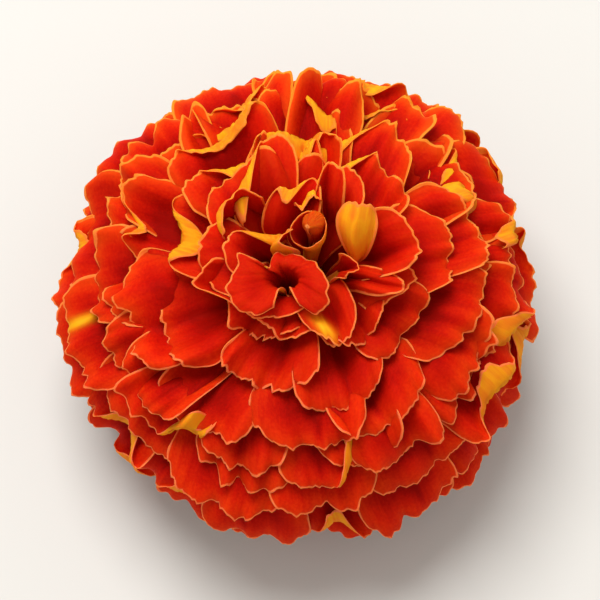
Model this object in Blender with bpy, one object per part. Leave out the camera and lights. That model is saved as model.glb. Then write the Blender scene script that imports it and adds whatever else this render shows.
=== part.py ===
"""A fully double marigold head, picked with a short stub of its stem, standing face up on a surface.

The head is a green calyx cup on the stub, with whorls of broad petals that rise out of the cup,
fan out and bend over at a rounded dome. The lowest whorl hangs down as a skirt to the surface.
Frame: +Z up, Z = 0 at the surface that the stub and the skirt stand on, Z axis through the head.
"""

import math
import random

import bmesh
import bpy
from mathutils import Vector

MM = 0.001

# The dome that the petal tips lie on: half an ellipse above its widest level and half below it.
HEAD_RADIUS = 34.6 * MM
WIDEST_Z = 20.0 * MM
DOME_RISE = 27.0 * MM
SKIRT_DROP = 30.0 * MM

# The stem stub and the calyx cup above it.
STUB_LENGTH = 5.0 * MM
STUB_CUT_RADIUS = 2.1 * MM
STUB_TOP_RADIUS = 2.7 * MM
CONTACT_GAP = 0.3 * MM
CALYX_FOOT_Z = STUB_LENGTH + CONTACT_GAP
CALYX_FOOT_RADIUS = 3.0 * MM
CALYX_MOUTH_Z = 17.6 * MM
CALYX_MOUTH_RADIUS = 8.9 * MM
CALYX_WALL = 0.7 * MM
CALYX_TEETH = 10
CALYX_TOOTH_HEIGHT = 1.3 * MM
CALYX_RIB_SHARE = 0.035
RECEPTACLE_Z = 9.0 * MM
SEAT_Z = RECEPTACLE_Z + CONTACT_GAP

# Every petal: a narrow claw that widens to a broad blade.
PETAL_THICKNESS = 0.5 * MM
CLAW_WIDTH = 1.0 * MM
INNER_SEAT_RADIUS = 1.6 * MM
OUTER_SEAT_RADIUS = 5.2 * MM
INNER_TIP_ANGLE = 24.0
OUTER_TIP_ANGLE = 130.0
TIP_LIFT_ANGLE = 30.0
BEND_LENGTH = 10.0 * MM
RIM_DROP_SHARE = 0.13
# Each petal lies a little askew, with one side over its neighbour and the other side under the next.
ASKEW_LIFT = 1.0 * MM

# name, tip angle from the head's axis in degrees, number of petals, blade width
WHORLS = (
    ("skirt_petal", 130.0, 12, 14.6 * MM),
    ("outer_petal", 101.0, 14, 16.6 * MM),
    ("shoulder_petal", 73.0, 13, 17.0 * MM),
    ("upper_petal", 47.0, 10, 16.6 * MM),
    ("inner_petal", 24.0, 6, 13.8 * MM),
)

# The two florets in the heart that grow as tubes: a wide frilled funnel and a small rolled cup.
FUNNEL_MOUTH = Vector((-2.8, -4.2, 48.0)) * MM
FUNNEL_RADII = (7.2 * MM, 4.9 * MM)
FUNNEL_SEAT = Vector((-0.5, 0.0, SEAT_Z / MM)) * MM
CUP_MOUTH = Vector((2.0, 3.6, 47.2)) * MM
CUP_RADII = (2.4 * MM, 2.1 * MM)
CUP_SEAT = Vector((0.5, 0.0, SEAT_Z / MM)) * MM
TUBE_RADIUS = 0.45 * MM
TUBE_WALL = 0.45 * MM

SEED = 7


def clear_scene():
    for obj in list(bpy.data.objects):
        bpy.data.objects.remove(obj, do_unlink=True)


def make_material(name, colour, roughness):
    material = bpy.data.materials.new(name)
    material.use_nodes = True
    shader = material.node_tree.nodes["Principled BSDF"]
    shader.inputs["Base Color"].default_value = (*colour, 1.0)
    shader.inputs["Roughness"].default_value = roughness
    shader.inputs["Metallic"].default_value = 0.0
    return material


def add_object(name, mesh, material, parent):
    obj = bpy.data.objects.new(name, mesh)
    bpy.context.scene.collection.objects.link(obj)
    obj.data.materials.append(material)
    obj.parent = parent
    return obj


def smoothstep(value):
    value = min(1.0, max(0.0, value))
    return value * value * (3.0 - 2.0 * value)


def direction(angle):
    """Unit vector in the (radius, height) plane, at that many degrees from straight up."""
    return Vector((math.sin(math.radians(angle)), math.cos(math.radians(angle))))


def dome_point(angle):
    """(radius, height) of a petal tip at that angle from the head's axis."""
    along = direction(angle)
    reach = DOME_RISE if angle <= 90.0 else SKIRT_DROP
    return Vector((HEAD_RADIUS * along.x, WIDEST_Z + reach * along.y))


def petal_midline(tip_angle):
    """Bezier control points, as (radius, height): straight up from the seat, and over at the dome."""
    share = (tip_angle - INNER_TIP_ANGLE) / (OUTER_TIP_ANGLE - INNER_TIP_ANGLE)
    seat_radius = INNER_SEAT_RADIUS + (OUTER_SEAT_RADIUS - INNER_SEAT_RADIUS) * share
    seat = Vector((seat_radius, SEAT_Z))
    rise = Vector((seat_radius, (30.0 + 8.0 * share) * MM))
    tip = dome_point(tip_angle)
    bend = tip - BEND_LENGTH * direction(tip_angle + 90.0 - TIP_LIFT_ANGLE)
    return seat, rise, bend, tip


def bezier(controls, t):
    a, b, c, d = controls
    s = 1.0 - t
    return a * s**3 + 3.0 * b * s * s * t + 3.0 * c * s * t * t + d * t**3


def upper_side(controls, t):
    """Unit vector, in the (radius, height) plane, out of the petal's upper face at share t."""
    ahead = bezier(controls, t + 0.01) - bezier(controls, t - 0.01)
    return Vector((-ahead.y, ahead.x)).normalized()


def petal_half_width(t, radius, width, petals):
    """Half of the petal's width at share t of its length, kept clear of its neighbours in the whorl."""
    widening = smoothstep((t - 0.2) / 0.6)
    half = 0.5 * (CLAW_WIDTH + (width - CLAW_WIDTH) * widening)
    share_of_pitch = 0.46 + 0.12 * smoothstep((t - 0.45) / 0.4)
    return min(half, share_of_pitch * 2.0 * math.pi * radius / petals)


def petal_mesh(name, tip_angle, width, petals):
    """The petal's middle surface, growing towards +X, as a grid across and along the blade."""
    across = [-1.0, -0.5, 0.0, 0.5, 1.0]
    along = [0.0, 0.14, 0.28, 0.42, 0.56, 0.7, 0.82, 0.92, 1.0]
    controls = petal_midline(tip_angle)
    bm = bmesh.new()
    rows = []
    for t in along:
        row = []
        for u in across:
            place = bezier(controls, t * (1.0 - RIM_DROP_SHARE * t * abs(u) ** 3))
            place += upper_side(controls, t) * ASKEW_LIFT * u * smoothstep((t - 0.1) / 0.5)
            turn = u * petal_half_width(t, place.x, width, petals) / place.x
            row.append(bm.verts.new((place.x * math.cos(turn), place.x * math.sin(turn), place.y)))
        rows.append(row)
    for low, high in zip(rows, rows[1:]):
        for i in range(len(across) - 1):
            bm.faces.new((low[i], low[i + 1], high[i + 1], high[i]))
    bmesh.ops.recalc_face_normals(bm, faces=bm.faces)
    mesh = bpy.data.meshes.new(name)
    bm.to_mesh(mesh)
    bm.free()
    mesh.shade_smooth()
    return mesh


def add_petal(name, tip_angle, azimuth, width, petals, material, parent):
    mesh = petal_mesh(name, tip_angle, width, petals)
    petal = add_object(name, mesh, material, parent)
    petal.rotation_euler.z = math.radians(azimuth)
    blade = petal.modifiers.new("Thickness", "SOLIDIFY")
    blade.thickness = PETAL_THICKNESS
    blade.offset = 0.0
    return petal


def add_whorls(material, parent):
    """All petals, whorl by whorl from the skirt inwards. Neighbouring whorls are turned half a petal."""
    rng = random.Random(SEED)
    for number, (name, tip_angle, petals, width) in enumerate(WHORLS):
        pitch = 360.0 / petals
        for i in range(petals):
            azimuth = pitch * (i + 0.5 * (number % 2)) + rng.uniform(-0.02, 0.02) * pitch
            add_petal(
                f"{name}_{i + 1:02d}",
                tip_angle + rng.uniform(-1.5, 1.5),
                azimuth,
                width * rng.uniform(0.93, 1.0),
                petals,
                material,
                parent,
            )


def lathe(name, profile, segments, shape_ring):
    """A closed solid turned from a profile of (radius, height), capped at both ends by a fan."""
    bm = bmesh.new()
    rings = []
    for step, (radius, height) in enumerate(profile):
        ring = []
        for i in range(segments):
            angle = 2.0 * math.pi * i / segments
            ring.append(bm.verts.new(shape_ring(step, radius, height, angle)))
        rings.append(ring)
    for low, high in zip(rings, rings[1:]):
        for i in range(segments):
            j = (i + 1) % segments
            bm.faces.new((low[i], low[j], high[j], high[i]))
    bm.faces.new(reversed(rings[0]))
    bm.faces.new(rings[-1])
    bmesh.ops.recalc_face_normals(bm, faces=bm.faces)
    mesh = bpy.data.meshes.new(name)
    bm.to_mesh(mesh)
    bm.free()
    mesh.shade_smooth()
    mesh.set_sharp_from_angle(angle=math.radians(40.0))
    return mesh


def add_stem(material, parent):
    """The stub left on the head when it is picked: cut square below, swelling up to the calyx."""
    profile = (
        (STUB_CUT_RADIUS, 0.0),
        (STUB_CUT_RADIUS, 0.45 * STUB_LENGTH),
        (0.5 * (STUB_CUT_RADIUS + STUB_TOP_RADIUS), 0.75 * STUB_LENGTH),
        (STUB_TOP_RADIUS, STUB_LENGTH),
    )

    def round_ring(_, radius, height, angle):
        return (radius * math.cos(angle), radius * math.sin(angle), height)

    return add_object("stem_stub", lathe("stem_stub", profile, 20, round_ring), material, parent)


def add_calyx(material, parent):
    """The calyx: bracts grown together as a ribbed cup with a toothed mouth, floored by the receptacle."""
    height = CALYX_MOUTH_Z - CALYX_FOOT_Z
    outside = (
        (CALYX_FOOT_RADIUS, CALYX_FOOT_Z),
        (0.62 * CALYX_MOUTH_RADIUS, CALYX_FOOT_Z + 0.12 * height),
        (0.84 * CALYX_MOUTH_RADIUS, CALYX_FOOT_Z + 0.34 * height),
        (0.96 * CALYX_MOUTH_RADIUS, CALYX_FOOT_Z + 0.68 * height),
        (CALYX_MOUTH_RADIUS, CALYX_MOUTH_Z),
    )
    inside = (
        (CALYX_MOUTH_RADIUS - CALYX_WALL, CALYX_MOUTH_Z),
        (0.96 * CALYX_MOUTH_RADIUS - CALYX_WALL, CALYX_FOOT_Z + 0.68 * height),
        (OUTER_SEAT_RADIUS + 2.0 * CONTACT_GAP, RECEPTACLE_Z),
    )
    profile = outside + inside
    mouth = (len(outside) - 1, len(outside))

    def ribbed_ring(step, radius, height, angle):
        wave = math.cos(CALYX_TEETH * angle)
        if 0 < step < len(outside):
            radius *= 1.0 + CALYX_RIB_SHARE * wave
        if step in mouth:
            height += CALYX_TOOTH_HEIGHT * max(0.0, wave)
        return (radius * math.cos(angle), radius * math.sin(angle), height)

    mesh = lathe("calyx", profile, 4 * CALYX_TEETH, ribbed_ring)
    return add_object("calyx", mesh, material, parent)


def add_tube_floret(name, seat, mouth, radii, material, parent):
    """A floret that grows as a tube from its seat and opens at its mouth, an oval as wide as radii."""
    outside = ((0.0, 1.0, 0.0), (0.35, 1.0, 0.0), (0.7, 1.2, 0.0), (0.84, 1.6, 0.08), (0.94, 1.0, 0.42), (1.0, 0.0, 1.0))
    inside = ((0.99, 0.0, 0.8), (0.955, 0.4, 0.36), (0.9, 0.5, 0.12))
    profile = outside + inside
    lean_start = 0.45

    def leaning_ring(step, share_of_tube, share_of_length, angle):
        share_of_mouth = profile[step][2]
        centre = seat.lerp(mouth, share_of_length)
        lean = smoothstep((share_of_length - lean_start) / (1.0 - lean_start))
        centre.x = seat.x + (mouth.x - seat.x) * lean
        centre.y = seat.y + (mouth.y - seat.y) * lean
        reach = [share_of_tube * TUBE_RADIUS + share_of_mouth * radius for radius in radii]
        return (centre.x + reach[0] * math.cos(angle), centre.y + reach[1] * math.sin(angle), centre.z)

    rings = [(tube, length) for length, tube, _ in profile]
    mesh = lathe(name, rings, 20, leaning_ring)
    return add_object(name, mesh, material, parent)


def centre_on_box(parent):
    """Moves the head sideways so that its box, from which the frame is measured, is centred on Z."""
    bpy.context.view_layer.update()
    graph = bpy.context.evaluated_depsgraph_get()
    corners = []
    for obj in parent.children:
        shown = obj.evaluated_get(graph)
        corners += [shown.matrix_world @ vertex.co for vertex in shown.data.vertices]
    for axis in (0, 1):
        reached = [corner[axis] for corner in corners]
        parent.location[axis] -= 0.5 * (min(reached) + max(reached))


def main():
    clear_scene()
    head = bpy.data.objects.new("marigold_head", None)
    bpy.context.scene.collection.objects.link(head)
    petal = make_material("petal_orange_red", (0.72, 0.045, 0.008), 0.6)
    calyx = make_material("calyx_green", (0.13, 0.24, 0.05), 0.55)
    stem = make_material("stem_green", (0.16, 0.29, 0.07), 0.6)
    add_stem(stem, head)
    add_calyx(calyx, head)
    add_whorls(petal, head)
    add_tube_floret("funnel_floret", FUNNEL_SEAT, FUNNEL_MOUTH, FUNNEL_RADII, petal, head)
    add_tube_floret("rolled_floret", CUP_SEAT, CUP_MOUTH, CUP_RADII, petal, head)
    centre_on_box(head)


main()
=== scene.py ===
"""Looks of a picked, fully double marigold head: ruffled velvet petals, calyx and stem stub."""

import math

import bpy
import numpy as np
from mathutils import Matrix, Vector


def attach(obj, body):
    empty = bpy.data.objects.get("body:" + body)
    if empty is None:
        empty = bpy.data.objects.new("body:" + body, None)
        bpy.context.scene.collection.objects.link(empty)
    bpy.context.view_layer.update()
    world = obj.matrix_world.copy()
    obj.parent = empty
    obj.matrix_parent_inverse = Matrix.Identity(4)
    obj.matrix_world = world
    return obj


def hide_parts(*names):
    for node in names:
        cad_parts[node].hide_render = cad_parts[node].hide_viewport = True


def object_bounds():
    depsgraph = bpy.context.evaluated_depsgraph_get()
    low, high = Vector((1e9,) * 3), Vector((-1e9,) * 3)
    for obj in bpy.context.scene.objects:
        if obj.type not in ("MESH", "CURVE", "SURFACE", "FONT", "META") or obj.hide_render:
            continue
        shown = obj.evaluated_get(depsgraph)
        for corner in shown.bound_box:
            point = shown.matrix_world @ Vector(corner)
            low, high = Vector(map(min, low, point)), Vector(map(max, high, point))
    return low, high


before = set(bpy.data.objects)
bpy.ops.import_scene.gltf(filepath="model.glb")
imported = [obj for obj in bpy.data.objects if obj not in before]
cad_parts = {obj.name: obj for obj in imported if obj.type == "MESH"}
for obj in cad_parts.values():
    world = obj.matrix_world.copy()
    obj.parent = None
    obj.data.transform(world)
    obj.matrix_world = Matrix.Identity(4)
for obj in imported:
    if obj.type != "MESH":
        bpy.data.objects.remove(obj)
cad_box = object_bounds()

# ------------------------------------------------------------
# Ligules, the strap-shaped petals. Each is one thin blade that grows from the receptacle on a narrow
# claw, rises inside the head, widens to a fan and bends over at the dome that all the tips make.
# ------------------------------------------------------------
# The flower's sizes are in mm, and heights are above the surface that it stands on. Shaders, floor,
# lamp and camera are in m. A petal's angles are in degrees.
MM = 0.001
HEAD_RADIUS = 34.6
WIDEST_Z = 20.0
DOME_RISE = 27.0
SKIRT_DROP = 30.0
SEAT_Z = 9.6
INNER_SEAT_RADIUS = 1.6
OUTER_SEAT_RADIUS = 5.2
INNER_TIP_ANGLE = 24.0
OUTER_TIP_ANGLE = 130.0
CLAW_AIM_Z = 30.0
OUTER_CLAW_RISE = 8.0
TIP_ARM = 10.5
CURL_LENGTH = 7.0
PATH_POINTS = 160


def smoothstep(x):
    x = np.clip(x, 0.0, 1.0)
    return x * x * (3.0 - 2.0 * x)


def ripple(rng, x, wavelength, waves=5):
    """A smooth random line of x, about -1 to 1, whose bumps are about one wavelength long."""
    total = np.zeros_like(x)
    for _ in range(waves):
        total += np.sin(2.0 * np.pi * (x / (wavelength * rng.uniform(0.7, 1.6)) + rng.random()))
    return total / math.sqrt(waves)


def crumple(rng, x, y, wavelength, waves=6):
    """The same over a plane."""
    total = np.zeros_like(x)
    for _ in range(waves):
        turn = rng.uniform(0.0, 2.0 * np.pi)
        way = x * math.cos(turn) + y * math.sin(turn)
        total += np.sin(2.0 * np.pi * (way / (wavelength * rng.uniform(0.7, 1.6)) + rng.random()))
    return total / math.sqrt(waves)


def measured(path):
    """The length from a path's start to each of its points, and the normal on its upper side."""
    step = np.gradient(path, axis=1)
    length = np.concatenate([[0.0], np.cumsum(np.hypot(*np.diff(path, axis=1)))])
    return length, np.array([-step[1], step[0]]) / np.hypot(*step)


def midline(tip_angle, lift, reach, droop, ends=None):
    """Length, path (radius, height) and upper-side normal along a petal's middle.

    The tip lies on the head's dome, tip_angle from its top. lift turns the tip up, reach takes it
    outwards and droop curls it down. ends gives the bend and the tip of a petal of the heart."""
    share = max(0.0, (tip_angle - INNER_TIP_ANGLE) / (OUTER_TIP_ANGLE - INNER_TIP_ANGLE))
    seat_radius = INNER_SEAT_RADIUS + (OUTER_SEAT_RADIUS - INNER_SEAT_RADIUS) * share
    lean = math.radians(tip_angle)
    rise = DOME_RISE if tip_angle <= 90.0 else SKIRT_DROP
    tip = np.array([HEAD_RADIUS * math.sin(lean), WIDEST_Z + rise * math.cos(lean)])
    tip += reach * np.array([math.sin(lean), math.cos(lean)])
    end = math.radians(tip_angle + 90.0 - lift)
    bend = tip - TIP_ARM * np.array([math.sin(end), math.cos(end)])
    if ends:
        bend, tip = ends
    controls = ((seat_radius, SEAT_Z), (seat_radius, CLAW_AIM_Z + OUTER_CLAW_RISE * share), bend, tip)
    a, b, c, d = (np.array(point)[:, None] for point in controls)
    t = np.linspace(0.0, 1.0, PATH_POINTS)
    path = a * (1 - t) ** 3 + 3 * b * (1 - t) ** 2 * t + 3 * c * (1 - t) * t * t + d * t**3
    length, normal = measured(path)
    curl = np.clip((length - length[-1] + CURL_LENGTH) / CURL_LENGTH, 0.0, 1.0)
    path = path - droop * curl**2 * normal
    length, normal = measured(path)
    return length, path, normal


# The waves of the rim of a petal of TYPICAL_WIDTH: depth, wavelength, and how many are laid together.
TYPICAL_WIDTH = 15.0
RIM_WAVES = ((0.35, 7.0, 3), (0.17, 2.2, 5), (0.16, 1.1, 5))
NICK_CHANCE = 0.6


def rim_line(rng, side, full, width, relief, ragged):
    """The rim against side, -1 to 1: rounded corners, lobes with a nick between them, fine scallops.

    Returns the smooth arch under it, the rim itself, and the side at which the blade is creased."""
    corner = rng.uniform(3.6, 5.8)
    roundness = rng.uniform(2.1, 2.9)
    rounded = (1.0 - np.minimum(np.abs(side), 0.999) ** roundness) ** (1.0 / roundness)
    arch = full - corner * (1.0 - rounded)
    size = ragged * width / TYPICAL_WIDTH
    rim = arch
    for depth, wavelength, waves in RIM_WAVES:
        rim = rim + size * depth * ripple(rng, side * width / 2, wavelength, waves)
    crease = rng.uniform(-0.3, 0.3)
    rim = rim + size * relief * rng.uniform(-0.5, 1.0) * np.exp(-np.abs(side - crease) / 0.3)
    for nick in (crease, crease + rng.choice((-1.0, 1.0)) * rng.uniform(0.3, 0.5)):
        if rng.random() < NICK_CHANCE:
            nick_depth = size * rng.uniform(0.2, 0.8)
            rim = rim - nick_depth * np.exp(-(((side - nick) / rng.uniform(0.04, 0.08)) ** 2))
    return arch, rim, crease


def margin_distance(across, along):
    """How far each point of the flat blade lies from its outline."""
    outline = np.concatenate([
        np.stack([across[:, 0], along[:, 0]], 1),
        np.stack([across[-1], along[-1]], 1),
        np.stack([across[::-1, -1], along[::-1, -1]], 1),
    ])
    outline = np.concatenate([outline, 0.5 * (outline[1:] + outline[:-1])])
    gaps = (across.ravel()[:, None] - outline[:, 0]) ** 2 + (along.ravel()[:, None] - outline[:, 1]) ** 2
    return np.sqrt(gaps.min(1)).reshape(across.shape)


PLEAT_HEIGHT = 0.45
FINE_PLEAT_HEIGHT = 0.1
CRUMPLE_HEIGHT = 0.4
CRUMPLE_SIZE = 9.0
# Ruffles of the rim: height, wavelength, and how far in from the rim they fade.
RUFFLES = ((0.8, 5.0, 3.0), (0.3, 2.3, 1.4))


def relief_height(rng, side, across, along, grown, from_rim, width, crease):
    """Height over the blade's middle plane: a fold, pleats that fan out, a soft crumple and ruffles."""
    valley = np.exp(-(np.sqrt((side - crease) ** 2 + 0.002) / rng.uniform(0.25, 0.4)) ** 1.3)
    height = -rng.uniform(0.7, 1.8) * grown * valley
    from_crease = np.sqrt((side - crease) ** 2 + 0.004)
    height += rng.uniform(0.8, 2.4) * grown * (np.minimum(from_crease, 0.85) - 0.5)
    pleats = rng.uniform(0.6, 1.1)
    height += PLEAT_HEIGHT * grown * np.sin(2 * np.pi * (pleats * side + rng.random()))
    height += FINE_PLEAT_HEIGHT * grown * np.sin(2 * np.pi * (3.1 * pleats * side + rng.random()))
    height += CRUMPLE_HEIGHT * crumple(rng, across, along, CRUMPLE_SIZE) * grown
    for ruffle_height, wavelength, fade in RUFFLES:
        ruffle = ripple(rng, side * width / 2, wavelength)
        height += ruffle_height * np.exp(-from_rim / fade) * ruffle
    return height


def rolled_margin(along, height, side, arch, rolls):
    """Curls a crescent of the margin, widest at one place on the rim, over the upper face.

    Each roll is its place and spread in shares of the half width, its depth, radius and turn."""
    for place, spread, depth, radius, turn in rolls:
        window = np.exp(-(((side - place) / spread) ** 2))
        beyond = along - (arch - depth * window + 0.5 * (1.0 - window))
        most = math.radians(turn)
        angle = np.clip(beyond / radius, 0.0, most)
        rest = np.maximum(beyond - radius * most, 0.0)
        forward = radius * np.sin(angle) + rest * math.cos(most)
        upward = radius * (1 - np.cos(angle)) + rest * math.sin(most)
        along = along + np.where(beyond > 0, forward - beyond, 0.0)
        height = height + np.where(beyond > 0, upward, 0.0)
    return along, height


def laid_on_midline(across, along, height, length, path, normal, wrap):
    """Bends a flat blade along its midline and round the head's axis, on a radius of wrap or more."""
    radius, z, out, up = (np.interp(along, length, line) for line in (*path, *normal))
    over = np.maximum(along - length[-1], 0.0)
    radius = radius + over * up
    bend = np.maximum(radius, wrap)
    turn = across / bend
    x = radius - bend + bend * np.cos(turn) + height * out * np.cos(turn)
    y = bend * np.sin(turn) + height * out * np.sin(turn)
    return x, y, z - over * out + height * up


WRAP_RADIUS = 13.0
CLAW_WIDTH = 0.9
CROWDED_SHARE = 0.46
FREE_SHARE = 0.17
SHIFT_FROM_Z = 28.0
SHIFT_OVER = 14.0
CREASE_WIDTH = 0.55
ACROSS = 60
ALONG = 26


def blade(seed, tip_angle, azimuth, width, edge_lifts, lift=30.0, reach=0.0, droop=1.2, cup=0.5,
          streak=None, pitch=None, wrap=WRAP_RADIUS, relief=1.0, ragged=1.0, ends=None,
          shift=(0.0, 0.0), rolls=(), widens=(0.22, 0.84)):
    """One petal as a closed shell. Returns its points, its faces and its vertex attributes.

    edge_lifts raise its two sides, cup lowers both, and pitch is the number of petals that share its
    whorl's room. relief scales its folds and ragged its rim. shift carries its outer part aside, and
    widens says between which shares of its length the fan opens."""
    rng = np.random.default_rng(seed)
    length, path, normal = midline(tip_angle, lift, reach, droop, ends)
    full = length[-1]
    # The grid is finer towards the sides and the rim.
    u = np.linspace(-1.0, 1.0, ACROSS + 1)
    u = 0.35 * u + 0.65 * np.sin(0.5 * np.pi * u)
    v = 1.0 - (1.0 - np.linspace(0.0, 1.0, ALONG + 1)) ** 1.55
    arch, rim, crease = rim_line(rng, u, full, width, relief, ragged)

    side, out = np.meshgrid(u, v)
    along = out * rim
    fanned = smoothstep((along / full - widens[0]) / (widens[1] - widens[0]))
    half = 0.5 * (CLAW_WIDTH + (width - CLAW_WIDTH) * fanned)
    if pitch is not None:
        room = 2.0 * np.pi * np.interp(along, length, path[0]) / pitch
        share = CROWDED_SHARE + FREE_SHARE * smoothstep((along / full - 0.4) / 0.4)
        half = np.minimum(half, share * room)
    across = side * half + 0.05 * width * rng.uniform(-1, 1) * (along / full) ** 3
    edge = margin_distance(across, along)

    grown = smoothstep((along / full - 0.4) / 0.55)
    from_rim = rim - along
    height = relief * relief_height(rng, side, across, along, grown, from_rim, width, crease)
    height -= cup * side**2 * grown
    flank = smoothstep((np.abs(side) - 0.2) / 0.8) * smoothstep((along / full - 0.1) / 0.45)
    height += flank * np.where(side > 0, edge_lifts[1], edge_lifts[0])
    rolled, height = rolled_margin(along, height, u, arch, rolls)

    x, y, z = laid_on_midline(across, rolled, height, length, path, normal, wrap)
    turn = math.radians(azimuth)
    freed = smoothstep((z - SHIFT_FROM_Z) / SHIFT_OVER)
    mid_x = x * math.cos(turn) - y * math.sin(turn) + shift[0] * freed
    mid_y = x * math.sin(turn) + y * math.cos(turn) + shift[1] * freed

    # Darker red along the crease: partly pigment, partly painted shade in the fold.
    crease_pigment_and_shade = np.exp(-(((side - crease) * half / CREASE_WIDTH) ** 2)) * smoothstep(from_rim / 2.5)
    glow = np.zeros_like(side)
    if streak:
        place, streak_width, inward, streak_length = streak
        across_streak = (side - place) * half / streak_width
        glow = np.exp(-(across_streak**2) - ((from_rim - inward) / streak_length) ** 2)
        glow = np.minimum(1.15 * glow, 1.0)
    flat_mm = np.stack([side * half, along, np.full_like(side, 40.0 * (seed % 97))], -1)
    return shell(np.stack([mid_x, mid_y, z], -1), edge, flat_mm, rng.random(), crease_pigment_and_shade, glow)


BLADE_THICKNESS = 0.26
RIM_THICKNESS = 0.1
EDGE_TAPER = 0.9


def shell(mid, edge, flat_mm, tone, crease, streak, back_gold=1.0):
    """Gives a middle surface its thickness, thin at the edge, and closes it all round.

    back_gold, 0 to 1, is how gold its lower face is."""
    rows, cols = mid.shape[:2]
    normal = np.cross(np.gradient(mid, axis=0), np.gradient(mid, axis=1))
    normal /= np.maximum(np.linalg.norm(normal, axis=-1, keepdims=True), 1e-9)
    thickness = RIM_THICKNESS + (BLADE_THICKNESS - RIM_THICKNESS) * smoothstep(edge / EDGE_TAPER)
    offset = 0.5 * thickness[..., None] * normal
    points = np.concatenate([(mid + offset).reshape(-1, 3), (mid - offset).reshape(-1, 3)])
    index = np.arange(rows * cols).reshape(rows, cols)
    a, b, c, d = index[:-1, :-1], index[:-1, 1:], index[1:, 1:], index[1:, :-1]
    upper = np.stack([a, d, c, b], -1).reshape(-1, 4)
    lower = np.stack([a, b, c, d], -1).reshape(-1, 4) + rows * cols
    loop = np.concatenate([index[0, :-1], index[:-1, -1], index[-1, :0:-1], index[:0:-1, 0]])
    after = np.roll(loop, -1)
    wall = np.stack([loop, after, after + rows * cols, loop + rows * cols], -1)
    faces = np.concatenate([upper, lower, wall])
    return points, faces, {
        "flat_mm": np.concatenate([flat_mm.reshape(-1, 3)] * 2),
        "edge_mm": np.concatenate([edge.ravel()] * 2),
        "under": np.concatenate([np.zeros(rows * cols), np.full(rows * cols, back_gold)]),
        "tone": np.full(2 * rows * cols, tone),
        "crease": np.concatenate([crease.ravel()] * 2),
        "streak": np.concatenate([streak.ravel()] * 2),
    }


SETTLE_Z = 1.2
SWAY = 0.42
SWAY_WAVES = (17.0, 30.0)


def sway(points):
    """Bends the whole head a little, so that no whorl is a perfect circle. The calyx stays put.

    Petals that hang lower than SETTLE_Z above the surface turn up and lie on it."""
    rng = np.random.default_rng(5)
    outwards = (np.hypot(points[:, 0], points[:, 1]) - 8.0) / 16.0
    free = smoothstep(outwards + (points[:, 2] - 24.0) / 26.0)
    moved = points.copy()
    for axis in range(3):
        for _ in range(4):
            way = rng.normal(size=3)
            way /= np.linalg.norm(way) * rng.uniform(*SWAY_WAVES)
            moved[:, axis] += SWAY * free * np.sin(2 * np.pi * (points @ way + rng.random()))
    sunk = np.minimum(moved[:, 2] - SETTLE_Z, 0.0)
    moved[:, 2] = np.maximum(moved[:, 2], SETTLE_Z) * np.exp(sunk / SETTLE_Z)
    return moved


def make_piece(name, shells, material):
    """One mesh object out of one or more petal shells, with its place in its mesh."""
    starts = np.cumsum([0] + [len(points) for points, _, _ in shells])
    points = np.concatenate([sway(points) * MM for points, _, _ in shells])
    faces = np.concatenate([faces + start for (_, faces, _), start in zip(shells, starts)])
    mesh = bpy.data.meshes.new(name)
    mesh.from_pydata(points.tolist(), [], faces.tolist())
    for key in shells[0][2]:
        values = np.concatenate([fields[key] for _, _, fields in shells]).astype(np.float32)
        kind, slot_name = ("FLOAT_VECTOR", "vector") if values.ndim == 2 else ("FLOAT", "value")
        mesh.attributes.new(key, kind, "POINT").data.foreach_set(slot_name, values.ravel())
    mesh.materials.append(material)
    mesh.shade_smooth()
    mesh.update()
    piece = bpy.data.objects.new(name, mesh)
    bpy.context.scene.collection.objects.link(piece)
    return piece


def linear(hex_colour):
    """An sRGB hex colour as the linear RGBA that a shader socket takes."""
    out = []
    for i in (1, 3, 5):
        c = int(hex_colour[i:i + 2], 16) / 255.0
        out.append(c / 12.92 if c <= 0.04045 else ((c + 0.055) / 1.055) ** 2.4)
    return (*out, 1.0)


def add_node(tree, kind, inputs=(), stops=(), **settings):
    """Adds a node, sets its properties, and fills its sockets with links, values or hex colours.

    stops are the rising (position, hex colour) pairs of a colour ramp."""
    node = tree.nodes.new(kind)
    for key, value in settings.items():
        setattr(node, key, value)
    for key, value in dict(inputs).items():
        if isinstance(value, bpy.types.NodeSocket):
            tree.links.new(value, node.inputs[key])
        elif isinstance(value, str) and value.startswith("#"):
            node.inputs[key].default_value = linear(value)
        else:
            node.inputs[key].default_value = value
    for i, (position, colour) in enumerate(stops):
        element = node.color_ramp.elements[i] if i < 2 else node.color_ramp.elements.new(position)
        element.position = position
        element.color = linear(colour)
    return node


def new_material(name, finish):
    """A material with its shader, whose plain sockets are filled from finish."""
    material = bpy.data.materials.new(name)
    material.use_nodes = True
    tree = material.node_tree
    tree.nodes.clear()
    shader = add_node(tree, "ShaderNodeBsdfPrincipled", finish)
    add_node(tree, "ShaderNodeOutputMaterial", {0: shader.outputs[0]})
    return material, tree, shader


VEIN_SPACING = 0.6
VEIN_LENGTH = 9.0
GRAIN_SIZE = 0.4
BLOTCH_SIZE = 4.0
FRAY_SIZE = 1.1
VEIN_HEIGHT = 0.00008


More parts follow.
